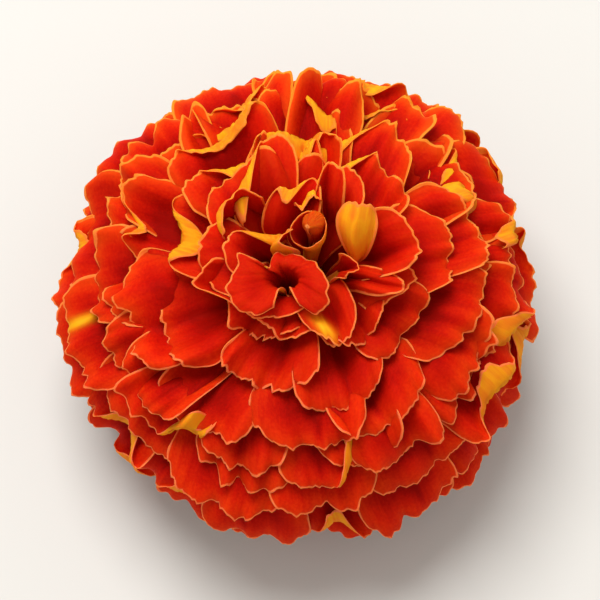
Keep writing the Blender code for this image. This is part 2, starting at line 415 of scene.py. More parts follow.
def ligule_velvet():
    """Petal tissue: fresh living cells domed like velvet, saturated red above and gold beneath.

    The gold margin is where the red pigment stops, under half a millimetre from the edge."""
    # Domed cells scatter light softly, let some through, and give next to no gloss.
    material, tree, shader = new_material("ligule_velvet", {
        "Roughness": 0.75,
        "Specular IOR Level": 0.04,
        "Subsurface Weight": 0.5,
        "Subsurface Radius": (1.0, 0.3, 0.06),
        "Subsurface Scale": 0.0016,
    })
    fields = {}
    for key, output in (("flat_mm", "Vector"), ("edge_mm", "Fac"), ("tone", "Fac"), ("under", "Fac"),
                        ("streak", "Fac"), ("crease", "Fac")):
        fields[key] = add_node(tree, "ShaderNodeAttribute", attribute_name=key).outputs[output]
    flat = fields["flat_mm"]
    edge = fields["edge_mm"]

    # Veins run from claw to rim, 0.6 mm apart; blotches of deeper pigment are some 4 mm across. The
    # velvet's own grain, 0.1 mm, is drawn at 0.4 mm so that it shows.
    vein_place = add_node(tree, "ShaderNodeMapping", {
        "Vector": flat, "Scale": (1 / VEIN_SPACING, 1 / VEIN_LENGTH, 1.0)}).outputs[0]
    vein = add_node(tree, "ShaderNodeTexNoise", {
        "Vector": vein_place, "Scale": 1.0, "Detail": 3.0}).outputs[0]
    grain = add_node(tree, "ShaderNodeTexNoise", {
        "Vector": flat, "Scale": 1 / GRAIN_SIZE, "Detail": 3.0}).outputs[0]
    blotch = add_node(tree, "ShaderNodeTexNoise", {
        "Vector": flat, "Scale": 1 / BLOTCH_SIZE, "Detail": 2.0}).outputs[0]
    fray = add_node(tree, "ShaderNodeTexNoise", {
        "Vector": flat, "Scale": 1 / FRAY_SIZE, "Detail": 2.0}).outputs[0]

    # The red deepens from the edge inwards and along the crease, in veins, blotches and grain.
    # Away from the edge and along the crease the deepening is partly pigment, partly painted shade of
    # recesses and folds.
    depth = add_node(tree, "ShaderNodeMapRange", {0: edge, 1: 1.5, 2: 9.0}).outputs[0]
    pigment_and_shade = depth
    for pattern, strength in ((vein, 0.3), (blotch, 0.3), (grain, 0.36), (fields["crease"], 0.22)):
        pigment_and_shade = add_node(tree, "ShaderNodeMath", {0: pattern, 1: strength, 2: pigment_and_shade},
                           operation="MULTIPLY_ADD").outputs[0]
    face = add_node(tree, "ShaderNodeValToRGB", {0: pigment_and_shade}, stops=(
        (0.24, "#E44C0C"), (0.38, "#D63406"), (0.58, "#C41E03"), (0.8, "#AC0E02"), (1.0, "#900700"),
    )).outputs[0]
    warm = add_node(tree, "ShaderNodeMix", {0: fields["tone"], 6: "#FFB060", 7: "#E83018"},
                    data_type="RGBA").outputs[2]
    face = add_node(tree, "ShaderNodeMix", {0: 0.4, 6: face, 7: warm},
                    data_type="RGBA", blend_type="MULTIPLY").outputs[2]

    # Darker red towards the heart, partly because the youngest petals there hold the most pigment and
    # partly as painted shade of the sunken heart.
    spot = add_node(tree, "ShaderNodeTexCoord").outputs["Object"]
    level = add_node(tree, "ShaderNodeVectorMath", {0: spot, 1: (1.0, 1.0, 0.0)},
                     operation="MULTIPLY").outputs[0]
    from_axis = add_node(tree, "ShaderNodeVectorMath", {0: level}, operation="LENGTH").outputs["Value"]
    youth_and_shade = add_node(tree, "ShaderNodeMapRange", {0: from_axis, 1: 0.009, 2: 0.021, 3: 0.45, 4: 0.0})
    face = add_node(tree, "ShaderNodeMix", {0: youth_and_shade.outputs[0], 6: face, 7: "#A20E02"},
                    data_type="RGBA").outputs[2]

    # The margin: gold at the very edge, fading through orange over the next millimetre or so. As painted
    # light, it is wider and yellower on the side towards the lamp (+Y), and the faces there are painted
    # paler.
    # This runs from 0 on the side away from the lamp (-Y) to 1 on the lamp's side (+Y); it paints the
    # lamp's light and shade into the margin, the faces and the back.
    y_toward_lamp = add_node(tree, "ShaderNodeSeparateXYZ", {0: spot}).outputs[1]
    lit_side = add_node(tree, "ShaderNodeMapRange", {0: y_toward_lamp, 1: -0.016, 2: 0.026}).outputs[0]
    frayed = edge
    for pattern, strength in ((fray, -0.2), (lit_side, -0.12)):
        frayed = add_node(tree, "ShaderNodeMath", {0: pattern, 1: strength, 2: frayed},
                          operation="MULTIPLY_ADD").outputs[0]
    gold = add_node(tree, "ShaderNodeMapRange", {0: frayed, 1: 0.04, 2: 0.19, 3: 1.0, 4: 0.0},
                    interpolation_type="SMOOTHSTEP").outputs[0]
    flush = add_node(tree, "ShaderNodeMapRange", {0: frayed, 1: 0.1, 2: 1.5, 3: 1.0, 4: 0.0},
                     interpolation_type="SMOOTHSTEP").outputs[0]
    lit_side_flush = add_node(tree, "ShaderNodeMapRange", {0: lit_side, 1: 0.0, 2: 1.0, 3: 0.06, 4: 0.4})
    # The orange flush is kept off the heart's petals, which keeps them darker: partly pigment, partly
    # painted shade.
    outside_heart = add_node(tree, "ShaderNodeMapRange", {0: from_axis, 1: 0.012, 2: 0.024})
    for share in (lit_side_flush, outside_heart):
        flush = add_node(tree, "ShaderNodeMath", {0: flush, 1: share.outputs[0]},
                         operation="MULTIPLY").outputs[0]
    edging = add_node(tree, "ShaderNodeMix", {0: lit_side, 6: "#FF6E3E", 7: "#FF8424"},
                      data_type="RGBA").outputs[2]
    for share, colour in ((flush, "#F2600F"), (gold, edging), (fields["streak"], "#FFA818")):
        face = add_node(tree, "ShaderNodeMix", {0: share, 6: face, 7: colour}, data_type="RGBA").outputs[2]

    # The back is gold, clouded with orange, deeper orange away from the edge (partly painted shade), and
    # painted duller on the side away from the lamp (-Y) as painted shade.
    cloud = depth
    for pattern in (vein, blotch):
        cloud = add_node(tree, "ShaderNodeMath", {0: pattern, 1: 0.5, 2: cloud},
                         operation="MULTIPLY_ADD").outputs[0]
    back = add_node(tree, "ShaderNodeValToRGB", {0: cloud}, stops=(
        (0.42, "#F07A1A"), (0.58, "#FA9E16"), (0.78, "#F08812"), (1.0, "#DC5C0C"))).outputs[0]
    # Painted shade: the back turns a duller orange on the side away from the lamp.
    shaded = add_node(tree, "ShaderNodeMapRange", {0: lit_side, 1: 0.0, 2: 0.7, 3: 0.4, 4: 0.0}).outputs[0]
    for share, colour in ((shaded, "#DE6A10"), (gold, edging)):
        back = add_node(tree, "ShaderNodeMix", {0: share, 6: back, 7: colour}, data_type="RGBA").outputs[2]
    colour = add_node(tree, "ShaderNodeMix", {0: fields["under"], 6: face, 7: back}, data_type="RGBA")
    tree.links.new(colour.outputs[2], shader.inputs["Base Color"])
    bump = add_node(tree, "ShaderNodeBump", {"Strength": 0.8, "Distance": VEIN_HEIGHT, "Height": vein})
    tree.links.new(bump.outputs[0], shader.inputs["Normal"])
    return material


velvet = ligule_velvet()

# The whorls from the skirt to the heart. The named ones stand for the solids of the same whorl; the
# others grow between them. name, tip angle, petals, width, first azimuth in pitches, node or None
WHORLS = (
    ("skirt_ligule", 130.0, 12, 14.6, 0.0, "skirt_petal"),
    ("lower_ligules", 115.5, 15, 14.6, 0.3, None),
    ("outer_ligule", 101.0, 14, 15.6, 0.5, "outer_petal"),
    ("rim_ligules", 87.0, 17, 16.2, 0.15, None),
    ("shoulder_ligule", 73.0, 13, 16.6, 0.0, "shoulder_petal"),
    ("middle_ligules", 60.0, 15, 14.8, 0.55, None),
    ("brow_ligules", 53.0, 10, 13.0, 0.1, None),
    ("upper_ligule", 47.0, 10, 15.2, 0.5, "upper_petal"),
    ("crown_ligules", 35.5, 9, 14.2, 0.2, None),
    ("inner_ligule", 24.0, 6, 13.6, 0.0, "inner_petal"),
)
# How far a petal's side stands over or under its neighbour's.
TUCK_OVER = 0.9
TUCK_UNDER = -0.7
# From this tip angle on, petals are pressed flatter by those above them.
FLATTER_FROM = 66.0
# Other petals roll by chance, apart from those well round on the shaded side (-Y).
CHANCE_ROLL = 0.15
SHADED_SINE = -0.2
ROLL_RADIUS = 0.5

# Where the margin of a petal has rolled forward, so that its gold back shows, as (whorl, petal):
# place on the rim and spread in shares of the half width, depth in mm, radius in mm, turn in degrees.
ROLLED = {
    ("crown_ligules", 3): (-0.3, 0.6, 4.6, 0.5, 160.0),
    ("upper_ligule", 2): (-0.6, 0.5, 4.2, 0.5, 150.0),
    ("upper_ligule", 3): (-0.1, 0.7, 3.4, 0.5, 155.0),
    ("crown_ligules", 2): (0.1, 0.8, 3.6, 0.5, 155.0),
    ("crown_ligules", 4): (0.1, 0.7, 4.6, 0.5, 160.0),
    ("crown_ligules", 1): (0.7, 0.5, 4.4, 0.5, 155.0),
    ("upper_ligule", 1): (0.75, 0.5, 5.4, 0.5, 155.0),
    ("middle_ligules", 11): (0.6, 0.5, 5.4, 0.5, 160.0),
    ("middle_ligules", 9): (0.6, 0.5, 4.6, 0.5, 155.0),
    ("rim_ligules", 11): (0.5, 0.5, 3.8, 0.5, 150.0),
    ("rim_ligules", 10): (0.3, 0.6, 4.2, 0.5, 150.0),
    ("rim_ligules", 8): (-0.4, 0.5, 3.4, 0.5, 150.0),
    ("rim_ligules", 16): (0.5, 0.5, 4.2, 0.5, 150.0),
    ("rim_ligules", 1): (0.4, 0.6, 3.4, 0.5, 150.0),
    ("outer_ligule", 8): (0.3, 0.5, 3.6, 0.5, 150.0),
    ("shoulder_ligule", 2): (0.7, 0.5, 3.4, 0.5, 150.0),
    ("shoulder_ligule", 1): (-0.75, 0.5, 4.6, 0.5, 155.0),
    ("shoulder_ligule", 12): (0.1, 0.7, 4.4, 0.5, 160.0),
    ("shoulder_ligule", 0): (-0.7, 0.5, 4.2, 0.5, 155.0),
    ("rim_ligules", 13): (-0.2, 0.4, 3.6, 0.5, 150.0),
    ("middle_ligules", 4): (0.0, 0.6, 3.0, 0.5, 145.0),
    ("middle_ligules", 1): (-0.5, 0.6, 4.2, 0.5, 155.0),
}
# Petals with a streak of gold on their face, as (whorl, petal): place in shares of the half width,
# half its width, how far in from the rim its middle lies and half its length, all in mm.
STREAKED = {("shoulder_ligule", 7): (-0.35, 0.7, 2.2, 3.0)}

for row, (name, tip_angle, petals, width, start, node) in enumerate(WHORLS):
    rng = np.random.default_rng(100 + row)
    over_next = rng.random(petals) < 0.5
    step = 360.0 / petals
    whorl = []
    for i in range(petals):
        lifts = (
            TUCK_UNDER if over_next[i - 1] else TUCK_OVER,
            TUCK_OVER if over_next[i] else TUCK_UNDER,
        )
        rolls = []
        if (name, i) in ROLLED:
            rolls.append(ROLLED[name, i])
        elif math.sin(math.radians(step * (i + start))) > SHADED_SINE and rng.random() < CHANCE_ROLL:
            place, spread, depth = rng.uniform(-0.8, 0.8), rng.uniform(0.35, 0.6), rng.uniform(2.4, 4.2)
            rolls.append((place, spread, depth, ROLL_RADIUS, rng.uniform(140.0, 160.0)))
        petal = blade(
            seed=1000 * row + i,
            tip_angle=tip_angle + rng.uniform(-3.0, 3.0),
            azimuth=step * (i + start + rng.uniform(-0.12, 0.12)),
            width=width * rng.uniform(0.88, 1.08),
            edge_lifts=lifts,
            rolls=rolls,
            relief=1.0 if tip_angle < FLATTER_FROM else 0.6,
            lift=rng.uniform(26.0, 48.0),
            reach=rng.uniform(-0.7, 0.7),
            droop=rng.uniform(0.6, 2.2),
            cup=rng.uniform(-0.4, 1.0),
            pitch=petals,
            streak=STREAKED.get((name, i)),
        )
        whorl.append(petal)
    if node is None:
        piece = make_piece(name, whorl, velvet)
        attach(piece, "root")
        continue
    for i, petal in enumerate(whorl):
        piece = make_piece(f"{name}_{i + 1:02d}", [petal], velvet)
        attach(piece, "root")
        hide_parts(f"{node}_{i + 1:02d}")

# ------------------------------------------------------------
# Narrow ligules that opened late and pushed up between the whorls, on the side that stood in the sun
# (+Y). They stand more upright than their neighbours, and nearly half have a rolled margin.
# ------------------------------------------------------------
LATE = 11
LATE_TIP_ANGLES = (34.0, 62.0, 48.0, 66.0)
LATE_FROM = 16.0
LATE_ARC = 118.0
LATE_ROLL_CHANCE = 0.45
LATE_ROLL_RADIUS = 0.45
rng = np.random.default_rng(77)
late = []
for i in range(LATE):
    rolls = []
    if rng.random() < LATE_ROLL_CHANCE:
        place, spread, depth = rng.uniform(-0.8, 0.8), rng.uniform(0.4, 0.7), rng.uniform(2.4, 4.0)
        rolls.append((place, spread, depth, LATE_ROLL_RADIUS, rng.uniform(140.0, 160.0)))
    late.append(blade(
        seed=30000 + i,
        tip_angle=LATE_TIP_ANGLES[i % 4] + rng.uniform(-5.0, 5.0),
        azimuth=LATE_FROM + LATE_ARC * (i + rng.uniform(-0.3, 0.3)) / LATE,
        width=rng.uniform(10.5, 14.0),
        edge_lifts=(rng.uniform(0.0, 0.8), rng.uniform(0.0, 0.8)),
        rolls=rolls,
        relief=0.7,
        lift=rng.uniform(36.0, 56.0),
        reach=rng.uniform(-2.6, -0.8),
        droop=rng.uniform(0.2, 1.4),
        cup=rng.uniform(-0.8, 0.8),
    ))
late_piece = make_piece("late_ligules", late, velvet)
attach(late_piece, "root")

# ------------------------------------------------------------
# The ligules of the heart. The youngest petals crowd between the two tube florets: some bend out,
# some stand, and some curl inwards, so that their gold backs show.
# ------------------------------------------------------------
HEART_TIP_ANGLE = 12.0
HEART_WRAP = 5.0
# azimuth, (x, y) shift of its outer part, width, (radius, height) of the bend and of the tip, cup,
# rolled margin as in ROLLED or None
HEART = (
    (150.0, (-3.0, -1.0), 9.5, (1.5, 46.0), (6.8, 47.2), 0.5, (-0.7, 0.5, 3.2, 0.5, 155.0)),
    (195.0, (0.0, -1.0), 8.5, (11.5, 41.0), (12.6, 46.4), -1.0, None),
    (66.0, (-3.0, 0.5), 8.4, (3.0, 45.0), (10.8, 47.6), 0.3, (0.4, 0.5, 2.6, 0.5, 150.0)),
    (100.0, (-3.0, 1.0), 9.0, (3.0, 44.4), (14.2, 46.2), 0.5, (0.8, 0.5, 4.0, 0.5, 155.0)),
    (78.0, (3.2, 2.0), 4.8, (4.5, 44.5), (9.8, 48.6), -0.6, None),
    (8.0, (0.0, 0.0), 9.6, (8.0, 45.0), (15.8, 45.8), -0.5, None),
    (345.0, (0.0, 0.0), 4.4, (6.8, 43.0), (7.8, 47.4), -0.9, None),
    (341.0, (0.0, 0.0), 4.2, (6.0, 46.4), (14.4, 46.4), 1.2, None),
    (236.0, (0.0, 0.0), 10.5, (3.0, 44.6), (11.6, 46.2), 0.4, None),
    (250.0, (0.0, 0.0), 10.5, (3.0, 43.6), (13.0, 44.8), 0.5, None),
    (186.0, (1.6, 2.0), 4.6, (6.6, 43.5), (1.9, 48.6), -0.2, None),
    (92.0, (1.6, 2.0), 4.0, (9.0, 43.0), (4.0, 48.6), -0.2, None),
    (140.0, (0.0, 0.0), 8.0, (13.0, 42.0), (10.6, 47.8), -0.4, None),
)
hearts = []
for i, (azimuth, shift, width, bend, tip, cup, rolled) in enumerate(HEART):
    hearts.append(blade(
        seed=20000 + i,
        tip_angle=HEART_TIP_ANGLE,
        azimuth=azimuth,
        width=width,
        edge_lifts=(0.2, 0.2),
        droop=0.3,
        cup=cup,
        wrap=HEART_WRAP,
        relief=0.6,
        ragged=0.8,
        ends=(bend, tip),
        shift=shift,
        rolls=[rolled] if rolled else [],
    ))

# One curls in over the heart, so that the whole of its spoon-shaped gold back is turned up.
hearts.append(blade(
    seed=20101,
    tip_angle=HEART_TIP_ANGLE,
    azimuth=259.0,
    width=6.2,
    edge_lifts=(0.0, 0.0),
    droop=0.3,
    cup=0.9,
    wrap=HEART_WRAP,
    relief=0.5,
    ends=((4.5, 44.6), (-4.6, 47.5)),
    shift=(7.7, 2.0),
    widens=(0.7, 0.96),
))
# One bends out over the edge of the heart and has a blotch of gold near its rim.
hearts.append(blade(
    seed=20009,
    tip_angle=HEART_TIP_ANGLE,
    azimuth=287.0,
    width=9.8,
    edge_lifts=(0.2, 0.2),
    droop=0.3,
    cup=0.5,
    wrap=HEART_WRAP,
    relief=0.6,
    ends=((3.0, 45.4), (13.4, 46.3)),
    streak=(-0.3, 1.3, 1.5, 1.2),
))
heart = make_piece("heart_ligules", hearts, velvet)
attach(heart, "root")

# ------------------------------------------------------------
# The two tube florets. Each is a petal rolled about its own length, so that its sides meet: a wide
# funnel with a frilled mouth that is split where the sides part, and a small one rolled like a snail.
# ------------------------------------------------------------
ROLLED_ACROSS = 120
ROLLED_ALONG = 33
ROLLED_WIDTH = 40.0


def rolled_blade(seed, seat, mouth, throat, turns, rings, rim_radius, rim_height, tone, parted=0.0,
                 back_gold=1.0):
    """A petal rolled round its length, from one of its turns to the other, in degrees.

    rings are (share of rim radius, added radius, height). parted is how far, in degrees, each of its
    sides draws back from the other towards the mouth."""
    rng = np.random.default_rng(seed)
    x = np.linspace(0.0, 1.0, ROLLED_ACROSS + 1)
    knots = np.linspace(0.0, 1.0, len(rings))
    v = np.linspace(0.0, 1.0, ROLLED_ALONG + 1)
    share, added, height = (np.interp(v, knots, [ring[i] for ring in rings]) for i in range(3))
    for _ in range(3):
        for line in (share, added, height):
            line[1:-1] = 0.25 * line[:-2] + 0.5 * line[1:-1] + 0.25 * line[2:]
    around, spread = np.meshgrid(x, share)
    drawn_back = parted * smoothstep(spread * 2.2)
    first, last = turns[0] + drawn_back, turns[1] - drawn_back
    angle = np.radians(first + (last - first) * around)
    radius = spread * rim_radius(np.degrees(angle), around) + added[:, None]
    lean = smoothstep((height - seat[2]) / (mouth[2] - seat[2]))[:, None]
    opened = smoothstep(spread)
    centre_x = seat[0] + (throat[0] - seat[0]) * lean + (mouth[0] - throat[0]) * opened
    centre_y = seat[1] + (throat[1] - seat[1]) * lean + (mouth[1] - throat[1]) * opened
    z = height[:, None] + rim_height(np.degrees(angle), around) * spread**2
    z = z + 0.22 * spread**3 * ripple(rng, around * ROLLED_WIDTH, 5.0)
    z = z + 0.08 * spread**3 * ripple(rng, around * ROLLED_WIDTH, 1.8)
    mid = np.stack([centre_x + radius * np.cos(angle), centre_y + radius * np.sin(angle), z], -1)
    border = np.concatenate([mid[:, 0], mid[:, -1]] + ([mid[-1]] if share[-1] > 0.5 else []))
    gaps = np.linalg.norm(mid.reshape(-1, 1, 3) - border[None], axis=-1)
    edge = gaps.min(1).reshape(z.shape)
    from_claw = np.broadcast_to(height[:, None], z.shape) + 6 * spread
    flat_mm = np.stack([around * ROLLED_WIDTH, from_claw, np.full_like(z, 7.0 * seed)], -1)
    return shell(mid, edge, flat_mm, tone, np.zeros_like(z), np.zeros_like(z), back_gold)


def funnel_rim(angle, x):
    """The funnel's outline: an oval 14 by 11 mm with a spur, a dip beside it, and scallops."""
    a = np.radians(angle)
    oval = 1.0 / np.sqrt((np.cos(a) / 7.2) ** 2 + (np.sin(a) / 5.4) ** 2)
    spur = 1.9 * np.exp(-(((angle - 130.0) / 6.0) ** 2))
    dip = -2.2 * np.exp(-(((angle - 108.0) / 10.0) ** 2))
    corners = -1.6 * (np.exp(-((x / 0.035) ** 2)) + np.exp(-(((x - 1.0) / 0.035) ** 2)))
    scallops = 0.16 * np.sin(a * 13.0) + 0.1 * np.sin(a * 21.0 + 1.0)
    return oval + spur + dip + corners + scallops


def funnel_frill(angle, x):
    """How far the funnel's outline waves up and down."""
    return 0.7 * np.cos(np.radians(2 * angle + 30)) + 0.5 * np.cos(np.radians(3 * angle))


funnel = rolled_blade(
    seed=31,
    seat=(-0.5, 0.0, SEAT_Z),
    mouth=(-2.8, -5.6, 48.0),
    throat=(-2.3, -3.9, 46.0),
    turns=(-88.0, 268.0),
    parted=26.0,
    rings=((0.0, 0.4, SEAT_Z), (0.0, 0.5, 30.0), (0.1, 0.6, 40.0), (0.2, 0.4, 43.6), (0.27, 0.2, 45.8),
           (0.36, 0.1, 47.3), (0.62, 0.0, 48.1), (0.86, 0.0, 48.3), (1.0, 0.0, 47.8)),
    rim_radius=funnel_rim,
    rim_height=funnel_frill,
    tone=0.85,
)
piece = make_piece("funnel_floret_frilled", [funnel], velvet)
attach(piece, "root")
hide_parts("funnel_floret")

SNAIL_SEAT = (0.5, 0.0, SEAT_Z)
snail_cup = rolled_blade(
    seed=32,
    seat=SNAIL_SEAT,
    mouth=(1.7, 3.0, 47.2),
    throat=(1.7, 3.0, 45.0),
    turns=(70.0, 395.0),
    rings=((0.0, 0.3, SEAT_Z), (0.1, 0.4, 30.0), (0.3, 0.4, 41.0), (0.7, 0.3, 44.4), (0.9, 0.1, 46.0),
           (1.0, 0.0, 47.2)),
    rim_radius=lambda angle, x: 2.5 + 0.2 * np.sin(np.radians(angle * 2.0)),
    rim_height=lambda angle, x: 0.3 + 0.5 * np.cos(np.radians(angle - 60.0)),
    tone=0.5,
)
snail_bud = rolled_blade(
    seed=33,
    seat=SNAIL_SEAT,
    mouth=(2.5, 4.1, 47.2),
    throat=(1.7, 3.0, 45.0),
    turns=(-140.0, 240.0),
    rings=((0.0, 0.2, SEAT_Z), (0.1, 0.2, 36.0), (0.5, 0.1, 42.5), (0.9, 0.0, 45.4), (1.0, 0.0, 47.0),
           (0.85, 0.0, 48.1), (0.4, 0.0, 48.6), (0.02, 0.0, 48.7)),
    rim_radius=lambda angle, x: 1.35 + 0.3 * x,
    rim_height=lambda angle, x: 0.1 * np.sin(np.radians(2 * angle)),
    tone=0.2,
    back_gold=0.2,
)
piece = make_piece("rolled_floret_snail", [snail_cup, snail_bud], velvet)
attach(piece, "root")
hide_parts("rolled_floret")

# ------------------------------------------------------------
# The calyx. Ten green bracts, grown together by their edges into a waxy cup with a toothed mouth. Its
# floor is the receptacle that every floret is seated on. Oil glands show as raised amber dots.
# ------------------------------------------------------------
BRACTS = 10
CALYX_FOOT_Z = 5.3
CALYX_MOUTH_Z = 17.6
CALYX_FOOT_RADIUS = 2.9
CALYX_MOUTH_RADIUS = 8.8
CALYX_WALL = 0.55
TOOTH_HEIGHT = 1.5
BRACT_CROWN = 0.02
SEAM_DEPTH = 0.28
RECEPTACLE_Z = 9.0


def calyx_wall(share, angle, inside):
    """Radius and height on the cup's wall: share 0 at its foot, 1 at its mouth."""
    bract = np.cos(BRACTS * angle)
    seam = np.abs(np.sin(0.5 * BRACTS * angle)) ** 6
    belly = 1.0 - (1.0 - share) ** 2.6
    radius = CALYX_FOOT_RADIUS + (CALYX_MOUTH_RADIUS - CALYX_FOOT_RADIUS) * belly
    radius = radius * (1.0 + BRACT_CROWN * bract * smoothstep(share * 4))
    radius = radius - SEAM_DEPTH * seam * smoothstep(share * 5)
    height = CALYX_FOOT_Z + (CALYX_MOUTH_Z - CALYX_FOOT_Z) * share
    tooth = np.clip(0.5 + 0.5 * bract, 0, 1) ** 1.6
    height = height + TOOTH_HEIGHT * tooth * smoothstep((share - 0.72) / 0.28)
    return radius - CALYX_WALL * inside, height


def ringed_piece(name, rings, angle):
    """A closed piece out of rings round the axis, each (radius, height) in mm, at the given angles.

    The first and the last ring are points on the axis."""
    segments = len(angle)
    points = [(0.0, 0.0, rings[0][1])]
    for radius, height in rings[1:-1]:
        radius, height = np.broadcast_to(radius, angle.shape), np.broadcast_to(height, angle.shape)
        points += list(zip(radius * np.cos(angle), radius * np.sin(angle), height))
    points.append((0.0, 0.0, rings[-1][1]))
    sides = [(i, (i + 1) % segments) for i in range(segments)]
    faces = [(0, 1 + j, 1 + i) for i, j in sides]
    for ring in range(len(rings) - 3):
        near, far = 1 + ring * segments, 1 + (ring + 1) * segments
        faces += [(near + i, near + j, far + j, far + i) for i, j in sides]
    last = 1 + (len(rings) - 3) * segments
    faces += [(last + i, last + j, len(points) - 1) for i, j in sides]
    mesh = bpy.data.meshes.new(name)
    mesh.from_pydata([tuple(MM * value for value in point) for point in points], [], faces)
    mesh.shade_smooth()
    piece = bpy.data.objects.new(name, mesh)
    bpy.context.scene.collection.objects.link(piece)
    return piece


angle = np.linspace(0.0, 2.0 * np.pi, BRACTS * 16, endpoint=False)
foot = [(0.0, CALYX_FOOT_Z), (0.6 * CALYX_FOOT_RADIUS, CALYX_FOOT_Z)]
outer_wall = [calyx_wall(share, angle, 0.0) for share in np.linspace(0.0, 1.0, 22) ** 1.2]
mouth = [calyx_wall(1.0, angle, 0.5)]
inner_wall = [calyx_wall(share, angle, 1.0) for share in np.linspace(1.0, 0.42, 10)]
receptacle = [(0.5 * CALYX_MOUTH_RADIUS, RECEPTACLE_Z), (0.0, RECEPTACLE_Z)]
calyx = ringed_piece("calyx_bracts", foot + outer_wall + mouth + inner_wall + receptacle, angle)

on_outer_wall = np.zeros(len(calyx.data.vertices), dtype=np.float32)
wall_start = 1 + (len(foot) - 1) * len(angle)
on_outer_wall[wall_start:wall_start + len(outer_wall) * len(angle)] = 1.0
calyx.data.attributes.new("outer_wall", "FLOAT", "POINT").data.foreach_set("value", on_outer_wall)

# Waxed leaf tissue: mid green, paler towards the foot, with long fibres and a dull gloss.
LEAF_FIBRE = (1 / 0.0005, 1 / 0.0005, 1 / 0.006)
LEAF_CLOUD = 1 / 0.004
leaf, tree, shader = new_material("waxed_bract", {
    "Roughness": 0.42,
    "Specular IOR Level": 0.4,
    "Subsurface Weight": 0.15,
    "Subsurface Radius": (0.4, 1.0, 0.2),
    "Subsurface Scale": 0.001,
})
place = add_node(tree, "ShaderNodeTexCoord").outputs["Object"]
stretched = add_node(tree, "ShaderNodeMapping", {"Vector": place, "Scale": LEAF_FIBRE}).outputs[0]
fibre = add_node(tree, "ShaderNodeTexNoise", {"Vector": stretched, "Scale": 1.0, "Detail": 3.0}).outputs[0]
cloud = add_node(tree, "ShaderNodeTexNoise", {"Vector": place, "Scale": LEAF_CLOUD, "Detail": 2.0})
up = add_node(tree, "ShaderNodeSeparateXYZ", {0: place}).outputs[2]
climb = add_node(tree, "ShaderNodeMapRange", {0: up, 1: 0.005, 2: 0.019}).outputs[0]
green = add_node(tree, "ShaderNodeValToRGB", {0: climb}, stops=(
    (0.0, "#8FA655"), (0.35, "#6E9140"), (0.8, "#4F7A2E"), (1.0, "#6B5A35"))).outputs[0]
threads = add_node(tree, "ShaderNodeValToRGB", {0: fibre}, stops=((0.3, "#6F8F45"), (0.7, "#BBD08A")))
green = add_node(tree, "ShaderNodeMix", {0: 0.35, 6: green, 7: threads.outputs[0]},
                 data_type="RGBA", blend_type="MULTIPLY").outputs[2]
patches = add_node(tree, "ShaderNodeValToRGB", {0: cloud.outputs[0]}, stops=(
    (0.35, "#3F6424"), (0.65, "#93A95A")))
green = add_node(tree, "ShaderNodeMix", {0: 0.2, 6: green, 7: patches.outputs[0]}, data_type="RGBA")
tree.links.new(green.outputs[2], shader.inputs["Base Color"])
bump = add_node(tree, "ShaderNodeBump", {"Strength": 0.6, "Distance": 0.00008, "Height": fibre})
tree.links.new(bump.outputs[0], shader.inputs["Normal"])
calyx.data.materials.append(leaf)
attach(calyx, "root")
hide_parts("calyx")

# Essential oil in blisters under a thin clear skin: amber, and glossier than the leaf round them.
amber, tree, shader = new_material("oil_gland_amber", {"Roughness": 0.25})
place = add_node(tree, "ShaderNodeTexCoord").outputs["Object"]
haze = add_node(tree, "ShaderNodeTexNoise", {"Vector": place, "Scale": 1 / 0.0007, "Detail": 2.0})
oil = add_node(tree, "ShaderNodeValToRGB", {0: haze.outputs[0]}, stops=(
    (0.35, "#8A4E14"), (0.65, "#C98A2A")))
tree.links.new(oil.outputs[0], shader.inputs["Base Color"])

# The glands lie at random on the outer wall, at least Spacing (in m) apart, each longer up the bract.
GLAND_INPUTS = {"Spacing": 0.0014, "Length": 0.0004, "Width": 0.00017, "Rise": 0.00009, "Seed": 4}
GLAND_DENSITY = 6.0e5
glands_tree = bpy.data.node_groups.new("oil_glands", "GeometryNodeTree")
interface = glands_tree.interface
interface.new_socket("Geometry", in_out="INPUT", socket_type="NodeSocketGeometry")
for socket_name in GLAND_INPUTS:
    kind = "NodeSocketInt" if socket_name == "Seed" else "NodeSocketFloat"
    interface.new_socket(socket_name, in_out="INPUT", socket_type=kind)
interface.new_socket("Geometry", in_out="OUTPUT", socket_type="NodeSocketGeometry")
given = add_node(glands_tree, "NodeGroupInput").outputs
wall = add_node(glands_tree, "GeometryNodeInputNamedAttribute", {"Name": "outer_wall"}, data_type="FLOAT")
on_wall = add_node(glands_tree, "FunctionNodeCompare", {0: wall.outputs[0], 1: 0.99},
                   operation="GREATER_THAN").outputs[0]
scattered = add_node(glands_tree, "GeometryNodeDistributePointsOnFaces", distribute_method="POISSON")
for socket_name, source in (("Mesh", given["Geometry"]), ("Selection", on_wall),
                            ("Distance Min", given["Spacing"]), ("Seed", given["Seed"])):
    glands_tree.links.new(source, scattered.inputs[socket_name])
scattered.inputs["Density Max"].default_value = GLAND_DENSITY
ball = add_node(glands_tree, "GeometryNodeMeshUVSphere", {"Segments": 8, "Rings": 5, "Radius": 1.0})
size = add_node(glands_tree, "ShaderNodeCombineXYZ",
                {0: given["Width"], 1: given["Length"], 2: given["Rise"]}).outputs[0]
turned = add_node(glands_tree, "FunctionNodeAlignRotationToVector",
                  {"Vector": scattered.outputs["Normal"]}, axis="Z").outputs[0]
upright = add_node(glands_tree, "FunctionNodeAlignRotationToVector",
                   {"Rotation": turned, "Vector": (0, 0, 1)}, axis="Y", pivot_axis="Z").outputs[0]
placed = add_node(glands_tree, "GeometryNodeInstanceOnPoints", {
    "Points": scattered.outputs["Points"],
    "Instance": ball.outputs[0],
    "Rotation": upright,
    "Scale": size,
}).outputs[0]
real = add_node(glands_tree, "GeometryNodeRealizeInstances", {0: placed}).outputs[0]
smooth = add_node(glands_tree, "GeometryNodeSetShadeSmooth", {0: real}).outputs[0]
dressed = add_node(glands_tree, "GeometryNodeSetMaterial", {"Geometry": smooth, "Material": amber})
add_node(glands_tree, "NodeGroupOutput", {0: dressed.outputs[0]})

